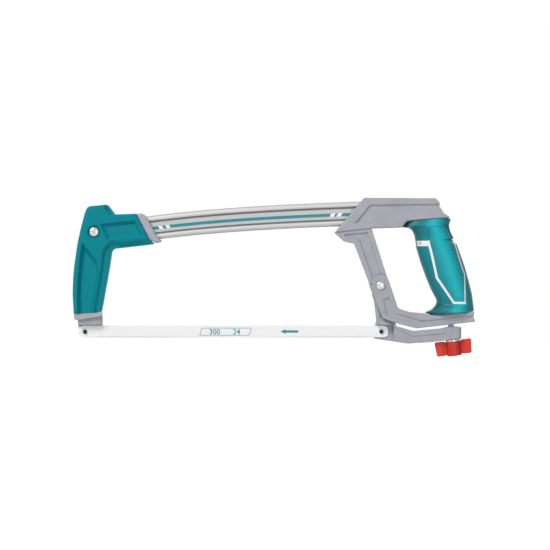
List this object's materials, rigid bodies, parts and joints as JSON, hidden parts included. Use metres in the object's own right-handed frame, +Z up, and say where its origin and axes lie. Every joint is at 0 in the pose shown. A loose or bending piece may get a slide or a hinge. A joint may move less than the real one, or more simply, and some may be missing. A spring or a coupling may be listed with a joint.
{
  "type": "hacksaw",
  "caption": "Hacksaw with a bent oval tube frame, D-shaped cast handle with a soft grip, toothed steel blade and a wing knob that tensions it through a lever.",
  "frame": {"origin": "the middle of the hand grip", "axes": "+X from the front arm towards the hand, +Z up from the blade to the tube, and Y across the saw, the left side facing -Y"},
  "size_m": [0.4064, 0.0312, 0.1608],
  "materials": {
    "blade_steel": "bright ground steel",
    "tube_aluminium": "satin drawn aluminium",
    "cast_aluminium": "fine grey powder coat on die-cast aluminium",
    "teal_plastic": "satin moulded teal plastic",
    "teal_rubber": "soft moulded teal rubber",
    "white_trim": "smooth white plastic",
    "red_plastic": "moulded red plastic",
    "bright_steel": "bright zinc or chrome plate",
    "black_steel": "blackened steel"
  },
  "bodies": {
    "saw_frame": {"frame_tube": "tube_aluminium", "front_arm": "cast_aluminium", "front_cover_left": "teal_plastic", "front_cover_right": "teal_plastic", "front_bolt": "bright_steel", "front_nut": "bright_steel", "front_blade_pin": "black_steel", "handle_casting": "cast_aluminium", "tube_set_screw_front": "black_steel", "tube_set_screw_rear": "black_steel", "grip_sleeve": "teal_rubber", "grip_trim": "white_trim", "tension_nut": "bright_steel", "pivot_nut": "bright_steel", "pivot_bolt": "bright_steel"},
    "washer": {"knob_washer": "bright_steel"},
    "knob": {"wing_knob": "red_plastic", "tension_screw": "bright_steel"},
    "lever": {"tension_lever": "cast_aluminium", "rear_blade_pin": "black_steel"},
    "blade": {"blade": "blade_steel"}
  },
  "joints": [
    {"name": "knob_advance", "type": "slide", "parent": "saw_frame", "child": "washer", "axis": [0.1219, 0, -0.9925], "range_m": [0, 0.00501]},
    {"name": "knob_turn", "type": "hinge", "parent": "washer", "child": "knob", "pos_m": [0.0056, 0, -0.0724], "axis": [0.1219, 0, -0.9925], "range_deg": [0, 1800]},
    {"name": "lever_pivot", "type": "hinge", "parent": "saw_frame", "child": "lever", "pos_m": [-0.0675, 0, -0.0176], "axis": [0, 1, 0], "range_deg": [0, 3.31]},
    {"name": "blade_unhook", "type": "hinge", "parent": "saw_frame", "child": "blade", "pos_m": [-0.3731, 0.00032, -0.0645], "axis": [0, 0, -1], "range_deg": [0, 6.51]}
  ],
  "couplings": [
    {"joint": "knob_advance", "follows": "knob_turn", "m_per_rad": 0.00015915},
    {"joint": "lever_pivot", "follows": "knob_turn", "ratio": 0.0018333},
    {"joint": "blade_unhook", "follows": "knob_turn", "ratio": 0.0036111}
  ]
}
